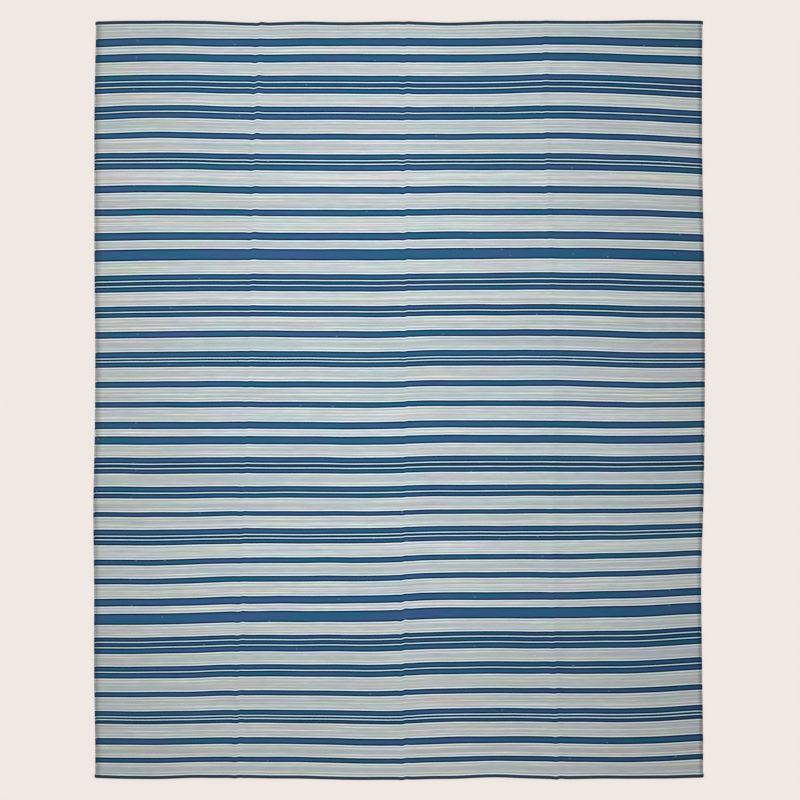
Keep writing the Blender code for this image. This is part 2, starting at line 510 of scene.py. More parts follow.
class Wiring:
    """Builds nodes and links in one shader tree."""

    def __init__(self, tree: bpy.types.NodeTree) -> None:
        """Take the tree to build in."""
        self.tree = tree

    def node(self, kind: str, **settings: object) -> bpy.types.Node:
        """Add a node and set its properties."""
        added = self.tree.nodes.new(kind)
        for key, value in settings.items():
            setattr(added, key, value)
        return added

    def feed(self, socket: bpy.types.NodeSocket, value: object) -> None:
        """Link another socket to this one, or set it to a plain value."""
        if isinstance(value, bpy.types.NodeSocket):
            self.tree.links.new(value, socket)
        elif isinstance(value, tuple) and len(value) == 3 and socket.type == "RGBA":
            socket.default_value = (*value, 1.0)
        else:
            socket.default_value = value

    def math(self, operation: str, *values: object, clamp: bool = False) -> bpy.types.NodeSocket:
        """Add a Math node on up to three values and return its result."""
        added = self.node("ShaderNodeMath", operation=operation, use_clamp=clamp)
        for socket, value in zip(added.inputs, values):
            self.feed(socket, value)
        return added.outputs[0]

    def blend(self, share: object, first: object, second: object) -> bpy.types.NodeSocket:
        """Mix two colours by a share and return the mixture."""
        added = self.node("ShaderNodeMix", data_type="RGBA")
        self.feed(added.inputs["Factor"], share)
        self.feed(added.inputs["A"], first)
        self.feed(added.inputs["B"], second)
        return added.outputs["Result"]

    def multiply(self, first: object, second: object) -> bpy.types.NodeSocket:
        """Multiply two colours and return the product."""
        added = self.node("ShaderNodeMix", data_type="RGBA", blend_type="MULTIPLY")
        self.feed(added.inputs["Factor"], 1.0)
        self.feed(added.inputs["A"], first)
        self.feed(added.inputs["B"], second)
        return added.outputs["Result"]

    def grade(self, value: object, to: Span, spread: Span = UNIT) -> bpy.types.NodeSocket:
        """Stretch values in the range spread over the range to, clamped, and return them."""
        added = self.node("ShaderNodeMapRange", clamp=True)
        for key, number in zip(("Value", "From Min", "From Max", "To Min", "To Max"),
                               (value, *spread, *to)):
            self.feed(added.inputs[key], number)
        return added.outputs["Result"]

    def grey(self, shade: object) -> bpy.types.NodeSocket:
        """Turn a shade into a grey colour."""
        added = self.node("ShaderNodeCombineColor")
        for socket in added.inputs:
            self.feed(socket, shade)
        return added.outputs[0]

    def vector(self, x: object, y: object, z: object) -> bpy.types.NodeSocket:
        """Join three values into a vector."""
        added = self.node("ShaderNodeCombineXYZ")
        for socket, value in zip(added.inputs, (x, y, z)):
            self.feed(socket, value)
        return added.outputs[0]

    def noise(self, at: object, scale: float, detail: float) -> bpy.types.NodeSocket:
        """Add 3-D noise and return its value."""
        added = self.node("ShaderNodeTexNoise", noise_dimensions="3D")
        self.feed(added.inputs["Vector"], at)
        self.feed(added.inputs["Scale"], scale)
        self.feed(added.inputs["Detail"], detail)
        return added.outputs[0]

    def group(self, tree: bpy.types.NodeTree, **inputs: object) -> bpy.types.Node:
        """Place a node group and feed its inputs, an underscore standing for a space."""
        added = self.node("ShaderNodeGroup", node_tree=tree)
        for key, value in inputs.items():
            self.feed(added.inputs[key.replace("_", " ")], value)
        return added


def start_group(
    name: str, inputs: dict[str, float], outputs: Sequence[str]
) -> tuple[bpy.types.NodeTree, Wiring, bpy.types.Node, bpy.types.Node]:
    """Start a shader node group.

    Args:
        name: the group's name.
        inputs: each input's name and default value.
        outputs: the names of the outputs, all of them plain values.

    Returns:
        The group, its wiring, its input node and its output node.
    """
    tree = bpy.data.node_groups.new(name, "ShaderNodeTree")
    for key, default in inputs.items():
        socket = tree.interface.new_socket(key, in_out="INPUT", socket_type="NodeSocketFloat")
        socket.default_value = default
    for key in outputs:
        tree.interface.new_socket(key, in_out="OUTPUT", socket_type="NodeSocketFloat")
    wiring = Wiring(tree)
    return tree, wiring, wiring.node("NodeGroupInput"), wiring.node("NodeGroupOutput")


@dataclass(frozen=True)
class WeftRibs:
    """The relief of a weft-faced weave.

    stagger is how far each pick's crowns stand past the last one's, in warp pitches, and slant
    how far the twist moves on with each pick. Crowns and plies are 1 high and fall to their low.
    """

    stagger: float = 0.5
    roundness: float = 0.55
    crown_low: float = 0.5
    slant: float = 0.8
    ply_low: float = 0.82

    def make(self) -> bpy.types.NodeTree:
        """Build the group.

        Returns:
            A group that takes a place in metres across and in picks, the pitch of the warp and
            of the yarn's twist, and gives the height of the yarn's crowns from 0 to 1.
        """
        tree, wiring, given, result = start_group(
            "weft_ribs",
            {"Across": 0.0, "Picks": 0.0, "Warp Pitch": 3 * MM, "Twist Pitch": 1 * MM},
            ("Height",),
        )
        picks = given.outputs["Picks"]
        odd = wiring.math("MODULO", wiring.math("FLOOR", picks), 2.0)
        ends = wiring.math("DIVIDE", given.outputs["Across"], given.outputs["Warp Pitch"])
        ends = wiring.math("ADD", ends, wiring.math("MULTIPLY", odd, self.stagger))
        crown = self.arches(wiring, ends, self.crown_low)
        rounded = wiring.math("POWER", self.arches(wiring, picks, 0.0), self.roundness)
        turns = wiring.math("DIVIDE", given.outputs["Across"], given.outputs["Twist Pitch"])
        turns = wiring.math("ADD", turns, wiring.math("MULTIPLY", picks, self.slant))
        ply = self.arches(wiring, turns, self.ply_low)
        height = wiring.math("MULTIPLY", wiring.math("MULTIPLY", rounded, crown), ply)
        wiring.feed(result.inputs["Height"], height)
        return tree

    def arches(self, wiring: Wiring, place: object, low: float) -> bpy.types.NodeSocket:
        """Return a row of round arches from low to 1, one for each step of place."""
        wave = wiring.math("SINE", wiring.math("MULTIPLY", place, math.pi))
        return wiring.math("MULTIPLY_ADD", wiring.math("ABSOLUTE", wave), 1 - low, low)


@dataclass(frozen=True)
class YarnUnevenness:
    """The unevenness of hand-laid yarn.

    Each drift is an output with how far its noise moves on from one laid length (lot) to the
    next, and how many waves it has a metre. Slubs lie one to a cell, in some of the cells.
    """

    picks_a_lot: float = 2.0
    drifts: tuple[tuple[str, float, float], ...] = (
        ("Fade", 5.3, 4.5), ("Streak", 7.7, 26.0), ("Hue", 0.045, 6.0), ("Warmth", 0.055, 5.0)
    )
    detail: float = 2.0
    drift_range: Span = (0.3, 0.7)
    cells_a_metre: float = 11.0
    cells_a_pick: float = 0.026
    slub_chance: float = 0.3
    slub_core: float = 0.012
    slub_rim: float = 0.028

    def make(self) -> bpy.types.NodeTree:
        """Build the group.

        Returns:
            A group that takes a place in metres across and in picks, and gives for each laid
            length of yarn a random number (Lot), its slow fading along its length (Fade), its
            short streaks (Streak), the dye's drift from green to pink (Hue) and from cool to
            warm (Warmth), and its thick places (Slub), each from 0 to 1.
        """
        names = [name for name, _, _ in self.drifts]
        tree, wiring, given, result = start_group(
            "yarn_unevenness", {"Across": 0.0, "Picks": 0.0}, ("Lot", *names, "Slub")
        )
        across, picks = given.outputs["Across"], given.outputs["Picks"]
        lot = wiring.math("FLOOR", wiring.math("DIVIDE", picks, self.picks_a_lot))
        chance = wiring.node("ShaderNodeTexWhiteNoise", noise_dimensions="1D")
        wiring.feed(chance.inputs["W"], lot)
        wiring.feed(result.inputs["Lot"], chance.outputs["Value"])
        for name, step, waves in self.drifts:
            place = wiring.vector(across, wiring.math("MULTIPLY", lot, step), step)
            drift = wiring.noise(place, waves, self.detail)
            wiring.feed(result.inputs[name], wiring.grade(drift, UNIT, self.drift_range))
        place = wiring.vector(
            wiring.math("MULTIPLY", across, self.cells_a_metre),
            wiring.math("MULTIPLY", picks, self.cells_a_pick),
            0.0,
        )
        cell = wiring.node("ShaderNodeTexVoronoi", voronoi_dimensions="2D", feature="F1")
        wiring.feed(cell.inputs["Vector"], place)
        wiring.feed(cell.inputs["Scale"], 1.0)
        split = wiring.node("ShaderNodeSeparateColor")
        wiring.feed(split.inputs[0], cell.outputs["Color"])
        picked = wiring.math("LESS_THAN", split.outputs[0], self.slub_chance)
        thick = wiring.grade(cell.outputs["Distance"], UNIT[::-1], (self.slub_core, self.slub_rim))
        wiring.feed(result.inputs["Slub"], wiring.math("MULTIPLY", picked, thick))
        return tree


@dataclass(frozen=True)
class Handling:
    """The slow changes of tone that use leaves, on Object coordinates.

    Spans are where each change begins and ends: in metres for places, else in noise from 0 to 1.
    """

    strength: float = 0.06
    patch_waves: float = 2.4
    patch_detail: float = 3.0
    fibre_waves: float = 420.0
    fibre_detail: float = 2.0
    fibre_range: Span = (0.35, 0.75)
    soiled_end: Span = (0.88, 1.0)
    soiled_shade: float = 0.90
    aged_sides: Span = (0.5, 0.85)
    aged_foot: Span = (-0.5, -1.0)

    def make(self) -> bpy.types.NodeTree:
        """Build the group.

        Returns:
            A group that takes Strength and gives a shade around 1 from washing and handling, a
            fuzz mask for raised fibres and an age mask that grows towards the sides and the foot.
        """
        tree, wiring, given, result = start_group(
            "handling", {"Strength": self.strength}, ("Shade", "Fuzz", "Age")
        )
        place = wiring.node("ShaderNodeTexCoord").outputs["Object"]
        split = wiring.node("ShaderNodeSeparateXYZ")
        wiring.feed(split.inputs[0], place)
        across, along = split.outputs[0], split.outputs[1]
        patches = wiring.noise(place, self.patch_waves, self.patch_detail)
        swing = wiring.math("MULTIPLY_ADD", patches, 2.0, -1.0)
        even = wiring.math("MULTIPLY_ADD", swing, given.outputs["Strength"], 1.0)
        soil = wiring.grade(along, (1.0, self.soiled_shade), self.soiled_end)
        wiring.feed(result.inputs["Shade"], wiring.math("MULTIPLY", even, soil))
        fibres = wiring.noise(place, self.fibre_waves, self.fibre_detail)
        wiring.feed(result.inputs["Fuzz"], wiring.grade(fibres, UNIT, self.fibre_range))
        aside = wiring.grade(wiring.math("ABSOLUTE", across), UNIT, self.aged_sides)
        footward = wiring.grade(along, UNIT, self.aged_foot)
        wiring.feed(result.inputs["Age"], wiring.math("MAXIMUM", aside, footward))
        return tree


def make_slanted_line_group() -> bpy.types.NodeTree:
    """Build the slanted lines of twill and twisted thread.

    Returns:
        A group that takes the lines' wave number, in radians a metre, and gives waves from 0 to
        1 that slant over a piece, on Object coordinates.
    """
    tree, wiring, given, result = start_group("slanted_lines", {"Wave Number": 1 / MM}, ("Line",))
    split = wiring.node("ShaderNodeSeparateXYZ")
    wiring.feed(split.inputs[0], wiring.node("ShaderNodeTexCoord").outputs["Object"])
    x, y, z = split.outputs
    slant = wiring.math("ADD", x, wiring.math("ADD", y, z))
    wave = wiring.math("SINE", wiring.math("MULTIPLY", slant, given.outputs["Wave Number"]))
    wiring.feed(result.inputs["Line"], wiring.math("MULTIPLY_ADD", wave, 0.5, 0.5))
    return tree


@dataclass(frozen=True)
class SharedEffects:
    """The node groups that several finishes use."""

    ribs: bpy.types.NodeTree
    yarn: bpy.types.NodeTree
    handling: bpy.types.NodeTree
    lines: bpy.types.NodeTree

    @classmethod
    def make(cls) -> "SharedEffects":
        """Build each group once."""
        return cls(
            WeftRibs().make(), YarnUnevenness().make(), Handling().make(), make_slanted_line_group()
        )


@dataclass(frozen=True)
class Finish:
    """What every textile finish has: its name and the plain values of its shader."""

    name: str
    roughness: float = 0.92
    sheen: float = 0.06
    sheen_roughness: float = 0.5
    specular: float = 0.2
    bump: float = 0.6

    def start(self) -> tuple[bpy.types.Material, Wiring, bpy.types.Node]:
        """Start a material.

        Returns:
            The material, its wiring and its Principled shader.
        """
        material = bpy.data.materials.new(self.name)
        material.use_nodes = True
        shader = material.node_tree.nodes["Principled BSDF"]
        shader.inputs["Roughness"].default_value = self.roughness
        shader.inputs["Sheen Weight"].default_value = self.sheen
        shader.inputs["Sheen Roughness"].default_value = self.sheen_roughness
        shader.inputs["Specular IOR Level"].default_value = self.specular
        return material, Wiring(material.node_tree), shader

    def raise_relief(
        self, wiring: Wiring, shader: bpy.types.Node, height: object, distance: float
    ) -> None:
        """Feed a height into the shader's normal.

        Args:
            wiring: the material's wiring.
            shader: the material's shader.
            height: heights from 0 to 1.
            distance: the height in metres that 1 stands for.
        """
        bump = wiring.node("ShaderNodeBump")
        wiring.feed(bump.inputs["Strength"], self.bump)
        wiring.feed(bump.inputs["Distance"], distance)
        wiring.feed(bump.inputs["Height"], height)
        wiring.feed(shader.inputs["Normal"], bump.outputs["Normal"])


@dataclass(frozen=True)
class WovenFinish(Finish):
    """Weft-faced cotton in the draft's yarns, on the thread map.

    Edges, gaps and widths are counted in picks. The lots are the share of laid lengths, by their
    random number, above or below which the pale yarn comes out light or shy of colour. fade is
    the blue yarn's shade at fade_reach metres to the left and to the right of the middle.
    """

    pale: Colour = (0.417, 0.470, 0.476)
    pale_light: Colour = (0.77, 0.80, 0.775)
    pale_shy: Colour = (0.335, 0.375, 0.370)
    greenish: Colour = (0.95, 1.05, 0.95)
    pinkish: Colour = (1.05, 0.95, 1.05)
    cool: Colour = (0.925, 1.0, 1.075)
    warm: Colour = (1.075, 1.0, 0.925)
    bleached: Colour = (0.69, 0.87, 0.98)
    pin_white: Colour = (0.54, 0.85, 1.0)
    blue: Colour = (0.004, 0.107, 0.175)
    violet: Colour = (0.034, 0.079, 0.229)
    navy: Colour = (0.001, 0.014, 0.045)
    aged: Colour = (1.03, 0.985, 0.955)
    pale_slub: Colour = (0.64, 0.67, 0.66)
    blue_slub: Colour = (0.24, 0.34, 0.44)
    slub_share: float = 0.8
    light_lots: float = 0.80
    light_lot_share: float = 0.5
    shy_lots: float = 0.16
    line_gap: float = 7.4
    line_width: float = 1.7
    line_range: Span = (0.1, 1.05)
    pale_edge: float = 2.05
    dull_edge: float = 4.6
    dull_share: float = 0.5
    navy_edge: float = 3.2
    pin_inset: float = 0.04
    fade: Span = (1.11, 0.94)
    fade_reach: float = 0.8
    streaks: Span = (0.92, 1.08)
    # The next two: painted shade in the grooves, painted highlight on the crowns.
    painted_groove_shade: float = 0.85
    painted_rib_shading_range: float = 0.30
    warp_pitch: float = 3.1 * MM
    twist_pitch: float = 1.1 * MM
    relief: float = 0.6 * MM
    fluff: float = 0.25
    # tone scales the colour; below 1, as on the selvedge cord, it is painted shade.
    tone: float = 1.0

    def make(self, effects: SharedEffects) -> bpy.types.Material:
        """Build the material.

        Args:
            effects: the shared node groups.

        Returns:
            The material.
        """
        material, wiring, shader = self.start()
        place = wiring.node("ShaderNodeSeparateXYZ")
        wiring.feed(place.inputs[0], wiring.node("ShaderNodeUVMap", uv_map=THREAD_MAP).outputs[0])
        across, picks = place.outputs[0], place.outputs[1]
        yarn = wiring.node("ShaderNodeAttribute", attribute_name=YARN_NUMBER).outputs["Fac"]
        edge = wiring.node("ShaderNodeAttribute", attribute_name=EDGE_DISTANCE).outputs["Fac"]
        ribs = wiring.group(effects.ribs, Across=across, Picks=picks,
                            Warp_Pitch=self.warp_pitch, Twist_Pitch=self.twist_pitch)
        laid = wiring.group(effects.yarn, Across=across, Picks=picks)
        used = wiring.group(effects.handling)
        dyed = wiring.math("GREATER_THAN", yarn, Yarn.BLUE.least())
        pin = wiring.math("GREATER_THAN", yarn, Yarn.BLEACHED.least())
        pin = wiring.math("MULTIPLY", pin, wiring.math("GREATER_THAN", edge, self.pin_inset))
        pale = self.pale_yarn(wiring, laid, edge)
        blue = self.blue_yarn(wiring, laid, edge, across)
        cloth = wiring.blend(pin, wiring.blend(dyed, pale, blue), self.pin_white)
        slub = wiring.blend(dyed, self.pale_slub, self.blue_slub)
        thick = wiring.math("MULTIPLY", laid.outputs["Slub"], self.slub_share)
        cloth = wiring.blend(thick, cloth, slub)
        # A tone below 1 darkens the colour: painted shade.
        shade = wiring.math("MULTIPLY", used.outputs["Shade"], self.tone)
        streak = wiring.grade(laid.outputs["Streak"], self.streaks)
        shade = wiring.math("MULTIPLY", shade, streak)
        height = ribs.outputs["Height"]
        # Painted shade and highlight: colour darker in the grooves, lighter on the crowns.
        painted_rib_shading = wiring.math("MULTIPLY_ADD", height, self.painted_rib_shading_range, self.painted_groove_shade)
        shade = wiring.math("MULTIPLY", shade, painted_rib_shading)
        age = wiring.blend(used.outputs["Age"], WHITE, self.aged)
        cloth = wiring.multiply(wiring.multiply(cloth, age), wiring.grey(shade))
        wiring.feed(shader.inputs["Base Color"], cloth)
        fuzz = used.outputs["Fuzz"]
        wiring.feed(shader.inputs["Roughness"], wiring.grade(fuzz, (self.roughness, 1.0)))
        height = wiring.math("ADD", height, wiring.math("MULTIPLY", fuzz, self.fluff))
        self.raise_relief(wiring, shader, height, self.relief)
        return material

    def pale_yarn(
        self, wiring: Wiring, laid: bpy.types.Node, edge: object
    ) -> bpy.types.NodeSocket:
        """Colour the pale yarn: light lines in an even rhythm, and lighter and duller lots.

        Args:
            wiring: the material's wiring.
            laid: the yarn unevenness group.
            edge: the distance from the edge of the band, in picks.

        Returns:
            The colour, bleached at the band's edges and dull just inside them.
        """
        lot, fade = laid.outputs["Lot"], laid.outputs["Fade"]
        into_gap = wiring.math("MODULO", edge, self.line_gap)
        line = wiring.math("GREATER_THAN", into_gap, self.line_gap - self.line_width)
        stray = wiring.math("GREATER_THAN", lot, self.light_lots)
        stray = wiring.math("MULTIPLY", stray, self.light_lot_share)
        light = wiring.math("MAXIMUM", line, stray)
        light = wiring.math("MULTIPLY", light, wiring.grade(fade, self.line_range))
        shy = wiring.math("MULTIPLY", wiring.math("LESS_THAN", lot, self.shy_lots), fade)
        dull = wiring.math("LESS_THAN", edge, self.dull_edge)
        shy = wiring.math("MAXIMUM", wiring.math("MULTIPLY", dull, self.dull_share), shy)
        colour = wiring.blend(shy, wiring.blend(light, self.pale, self.pale_light), self.pale_shy)
        for drift, one_way, other_way in (
            ("Hue", self.greenish, self.pinkish), ("Warmth", self.cool, self.warm)
        ):
            tint = wiring.blend(laid.outputs[drift], one_way, other_way)
            colour = wiring.multiply(colour, tint)
        edging = wiring.math("LESS_THAN", edge, self.pale_edge)
        return wiring.blend(edging, colour, self.bleached)

    def blue_yarn(
        self, wiring: Wiring, laid: bpy.types.Node, edge: object, across: object
    ) -> bpy.types.NodeSocket:
        """Colour the blue yarn, a little lighter towards the left side and darker towards the
        right.

        Args:
            wiring: the material's wiring.
            laid: the yarn unevenness group.
            edge: the distance from the edge of the band, in picks.
            across: the place across the blanket, in metres.

        Returns:
            The colour, navy at the band's edges.
        """
        colour = wiring.blend(laid.outputs["Hue"], self.blue, self.violet)
        # The blue is a little lighter on the left and darker on the right.
        across_lightness = wiring.grade(across, self.fade, (-self.fade_reach, self.fade_reach))
        colour = wiring.multiply(colour, wiring.grey(across_lightness))
        edging = wiring.math("LESS_THAN", edge, self.navy_edge)
        return wiring.blend(edging, colour, self.navy)


@dataclass(frozen=True)
class TapeFinish(Finish):
    """Navy cotton tape in a fine twill, on Object coordinates."""

    dark: Colour = (0.013, 0.029, 0.053)
    light: Colour = (0.024, 0.048, 0.080)
    twill_pitch: float = 0.8 * MM
    relief: float = 0.12 * MM
    wear: float = 0.12
    worn_smooth: float = 0.1

    def make(self, effects: SharedEffects) -> bpy.types.Material:
        """Build the material.

        Args:
            effects: the shared node groups.

        Returns:
            The material.
        """
        material, wiring, shader = self.start()
        twill = wiring.group(effects.lines, Wave_Number=2 * math.pi / self.twill_pitch).outputs[0]
        used = wiring.group(effects.handling, Strength=self.wear)
        colour = wiring.blend(twill, self.dark, self.light)
        colour = wiring.multiply(colour, wiring.grey(used.outputs["Shade"]))
        wiring.feed(shader.inputs["Base Color"], colour)
        rough = wiring.grade(used.outputs["Fuzz"], (self.roughness - self.worn_smooth, 1.0))
        wiring.feed(shader.inputs["Roughness"], rough)
        self.raise_relief(wiring, shader, twill, self.relief)
        return material


@dataclass(frozen=True)
class ThreadFinish(Finish):
    """Twisted sewing thread, on Object coordinates."""

    dark: Colour = (0.018, 0.035, 0.065)
    light: Colour = (0.045, 0.075, 0.12)
    ply_pitch: float = 0.35 * MM
    ply_roughness: Span = (0.75, 0.55)
    relief: float = 0.05 * MM
    bare_light: float = 0.4

    def make(self, effects: SharedEffects) -> bpy.types.Material:
        """Build the material.

        Args:
            effects: the shared node groups.

        Returns:
            The material.
        """
        material, wiring, shader = self.start()
        ply = wiring.group(effects.lines, Wave_Number=2 * math.pi / self.ply_pitch).outputs[0]
        fuzz = wiring.group(effects.handling).outputs["Fuzz"]
        fibres = wiring.math("ADD", fuzz, self.bare_light)
        share = wiring.math("MULTIPLY", ply, fibres, clamp=True)
        wiring.feed(shader.inputs["Base Color"], wiring.blend(share, self.dark, self.light))
        wiring.feed(shader.inputs["Roughness"], wiring.grade(ply, self.ply_roughness))
        self.raise_relief(wiring, shader, ply, self.relief)
        return material


@dataclass(frozen=True)
class FloorFinish:
    """An even, matt floor."""

    name: str = "pale_floor"
    colour: Colour = (0.84, 0.776, 0.732)
    roughness: float = 0.95
    specular: float = 0.1

    def make(self) -> bpy.types.Material:
        """Build the material.

        Returns:
            The material.
        """
        material = bpy.data.materials.new(self.name)
        material.use_nodes = True
        shader = material.node_tree.nodes["Principled BSDF"]
        shader.inputs["Base Color"].default_value = (*self.colour, 1.0)
        shader.inputs["Roughness"].default_value = self.roughness
        shader.inputs["Specular IOR Level"].default_value = self.specular
        return material


# ---------------------------------------------------------------------------------------------
# The blanket's pieces
# ---------------------------------------------------------------------------------------------


@dataclass(frozen=True)
class BlanketFrame:
    """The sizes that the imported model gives, in metres."""

    half_width: float
    half_length: float
    field_half_width: float
    tape_height: float
    tape_half_width: float
    lip_edge: float
    tongue_end: float
    cord_radius: float

    @classmethod
    def read(cls) -> "BlanketFrame":
        """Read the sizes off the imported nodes."""
        cord_low, cord_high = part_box("right_selvedge")
        field_low, field_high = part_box("woven_field")
        tape_low, tape_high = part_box("head_binding")
        return cls(
            half_width=cord_high[0],
            half_length=tape_high[1],
            field_half_width=field_high[0],
            tape_height=tape_high[2],
            tape_half_width=tape_high[0],
            lip_edge=tape_low[1],
            tongue_end=field_high[1],
            cord_radius=(cord_high[0] - cord_low[0]) / 2,
        )


@dataclass
class BlanketPiece:
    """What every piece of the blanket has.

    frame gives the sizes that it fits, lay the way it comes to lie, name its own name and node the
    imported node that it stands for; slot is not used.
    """

    frame: BlanketFrame
    lay: BlanketLay
    name: str
    node: str
    slot: str

    def build(self) -> bpy.types.Object:
        """Make the piece, settled; each kind of piece says how."""
        raise NotImplementedError

    def dress(self, piece: bpy.types.Object, finish: bpy.types.Material) -> None:
        """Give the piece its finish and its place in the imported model.

        Args:
            piece: the piece, as built.
            finish: its material.
        """
        piece.data.materials.append(finish)
        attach(piece, "root")
        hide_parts(self.node)


@dataclass
class WovenField(BlanketPiece):
    """The striped cloth, as one closed sheet whose rows follow the draft.

    Columns stand crease_gap apart over the crease_core share of crease_reach from a crease, and
    spread to column_gap within one more reach.
    """

    draft: WeaversDraft
    thickness: float = 2.3 * MM
    pressed: float = 1.2 * MM
    press_run: float = 6 * MM
    column_gap: float = 17 * MM
    crease_gap: float = 3 * MM
    crease_reach: float = 22 * MM
    crease_core: float = 0.8
    row_gap: float = 6.5 * MM

    def pick_pitch(self) -> float:
        """Return the length of cloth that one pick takes, in metres."""
        return 2 * self.frame.lip_edge / self.draft.total()

    def columns(self) -> Points:
        """Return the columns' places at mid length, closer together at the creases."""
        centres = [crease.across * self.lay.half_width for crease in self.lay.creases]
        places = [-self.frame.field_half_width]
        while places[-1] < self.frame.field_half_width:
            here = places[-1]
            near = min(abs(here - centre) for centre in centres)
            share = min(max(near / self.crease_reach - self.crease_core, 0.0), 1.0)
            places.append(here + self.crease_gap + share * (self.column_gap - self.crease_gap))
        places[-1] = self.frame.field_half_width
        if places[-1] - places[-2] < self.crease_gap / 2:
            del places[-2]
        return np.array(places)

    def leans(self, columns: Points) -> Points:
        """Return how far each column moves to the right for each metre towards the head."""
        places = [crease.across * self.lay.half_width for crease in self.lay.creases]
        leans = [crease.lean for crease in self.lay.creases]
        edge = self.frame.field_half_width
        return np.interp(columns, [-edge, *places, edge], [0.0, *leans, 0.0])

    def rows(self) -> tuple[Points, list[float], list[float]]:
        """Lay the mesh's rows on the draft.

        Returns:
            The rows' places in picks from the head tape, each row's distance in picks from the
            edge of its run, and the yarn of the strip that follows each row.
        """
        under = (self.frame.tongue_end - self.frame.lip_edge) / self.pick_pitch()
        picks, distance, yarns = [-under, -under / 2], [under, under / 2], [0.0, 0.0]
        done = 0
        for yarn, width in self.draft.runs():
            steps = 2 * max(1, round(width * self.pick_pitch() / self.row_gap / 2))
            for step in range(steps):
                into = width * step / steps
                picks.append(done + into)
                distance.append(min(into, width - into))
                yarns.append(float(yarn.value))
            done += width
        picks += [done, done + under / 2, done + under]
        distance += [0.0, under / 2, under]
        yarns += [0.0, 0.0]
        return np.array(picks), distance, yarns

    def body_at(self, t: Points) -> tuple[Points, Points]:
        """Return the heights of the cloth's underside and top before it is settled."""
        into_tape = (np.abs(t) - self.frame.lip_edge + self.press_run) / self.press_run
        share = smooth_step(into_tape)
        middle = self.frame.tape_height / 2
        low = share * (middle - self.pressed / 2)
        high = (1 - share) * self.thickness + share * (middle + self.pressed / 2)
        return low, high

    def build(self) -> bpy.types.Object:
        """Make the sheet, settled, with its thread map and yarn numbers.

        Returns:
            The piece.
        """
        columns = self.columns()
        picks, distance, yarns = self.rows()
        across, down = np.meshgrid(columns, picks)
        v = down.ravel()
        t = self.frame.lip_edge - v * self.pick_pitch()
        s = across.ravel() + np.tile(self.leans(columns), len(picks)) * t
        low, high = self.body_at(t)
        top = np.stack([s, t, high], axis=1)
        bottom = np.stack([s, t, low], axis=1)
        wide, tall = len(columns), len(picks)
        count = wide * tall
        faces, numbers = [], []
        for row in range(tall - 1):
            for column in range(wide - 1):
                a = row * wide + column
                faces.append((a, a + wide, a + wide + 1, a + 1))
                faces.append((count + a, count + a + 1, count + a + wide + 1, count + a + wide))
                numbers += [yarns[row]] * 2
            left, right = row * wide, row * wide + wide - 1
            faces.append((left, count + left, count + left + wide, left + wide))
            faces.append((right, right + wide, count + right + wide, count + right))
            numbers += [yarns[row]] * 2
        last = (tall - 1) * wide
        for column in range(wide - 1):
            faces.append((column, column + 1, count + column + 1, count + column))
            a = last + column
            faces.append((a, count + a, count + a + 1, a + 1))
            numbers += [yarns[0], yarns[-1]]
        points = self.lay.settle(np.concatenate([top, bottom]))
        piece = new_piece(self.name, points, faces)
        map_threads(piece.data, np.tile(s, 2), np.tile(v, 2))
        number_faces(piece.data, YARN_NUMBER, numbers)
        number_points(piece.data, EDGE_DISTANCE, np.tile(np.repeat(distance, wide), 2))
        return piece


@dataclass
class Selvedge(BlanketPiece):
    """One corded side: the weft turning round a bundle of warp cords, rib by rib.

    side is -1 on the left and 1 on the right. rib lists how far along one rib each ring stands
    and its size, as shares of the rib's length and of the cord's radius.
    """

    draft: WeaversDraft
    side: int
    picks_a_rib: int = 2
    sides: int = 8
    rib: tuple[Span, ...] = ((0.0, 0.86), (0.22, 1.0), (0.5, 1.04), (0.78, 1.0))
    bite: float = 0.5 * MM
    press_run: float = 6 * MM
    pressed_half: float = 0.6 * MM

    def build(self) -> bpy.types.Object:
        """Make the ribbed cord, settled.

        Returns:
            The piece.
        """
        pitch = 2 * self.frame.lip_edge / self.draft.total()
        yarns, widths = zip(*self.draft.runs())
        yarn_at = np.repeat([yarn.value for yarn in yarns], widths)
        into_run = np.concatenate(
            [np.minimum(np.arange(width), width - np.arange(width)) for width in widths]
        )
        under = int((self.frame.tongue_end - self.frame.lip_edge) / pitch)
        ribs = range(-under // self.picks_a_rib, (len(yarn_at) + under) // self.picks_a_rib)
        turns = 2 * np.pi * (np.arange(self.sides) + 0.5) / self.sides
        rings, places, numbers = [], [], []
        centre = self.side * (self.frame.half_width - self.frame.cord_radius)
        for number in ribs:
            pick = min(max(number * self.picks_a_rib, 0), len(yarn_at) - 1)
            for share, swell in self.rib:
                v = (number + share) * self.picks_a_rib
                rings.append(self.ring(centre, self.frame.lip_edge - v * pitch, swell, turns))
                places.append(v)
                numbers += [float(yarn_at[pick])] * self.sides
        points = self.lay.settle(np.concatenate(rings))
        faces = tube_faces(len(rings), self.sides)
        piece = new_piece(self.name, points, faces)
        numbers = numbers[: len(faces) - 2] + [0.0, 0.0]
        around = np.tile(self.frame.half_width + turns * self.frame.cord_radius, len(rings))
        map_threads(piece.data, around, np.repeat(places, self.sides))
        number_faces(piece.data, YARN_NUMBER, numbers)
        nearest = np.clip(np.rint(places).astype(int), 0, len(into_run) - 1)
        number_points(piece.data, EDGE_DISTANCE, np.repeat(into_run[nearest], self.sides))
        return piece

    def ring(self, centre: float, t: float, swell: float, turns: Points) -> Points:
        """Return one ring of the cord.

        Args:
            centre: the cord's middle across the blanket.
            t: the ring's place along the blanket.
            swell: its size, as a share of the cord's own.
            turns: the angles of its points.

        Returns:
            Its points.
        """
        share = smooth_step(np.array((abs(t) - self.frame.lip_edge) / self.press_run + 1))
        radius = self.frame.cord_radius * swell
        flat = radius * (1 - share) + self.pressed_half * share
        height = self.frame.cord_radius * (1 - share) + self.frame.tape_height / 2 * share
        x = centre + (radius + self.bite / 2) * np.cos(turns) - self.side * self.bite / 2
        return np.stack([x, np.full_like(x, t), height + flat * np.sin(turns)], axis=1)


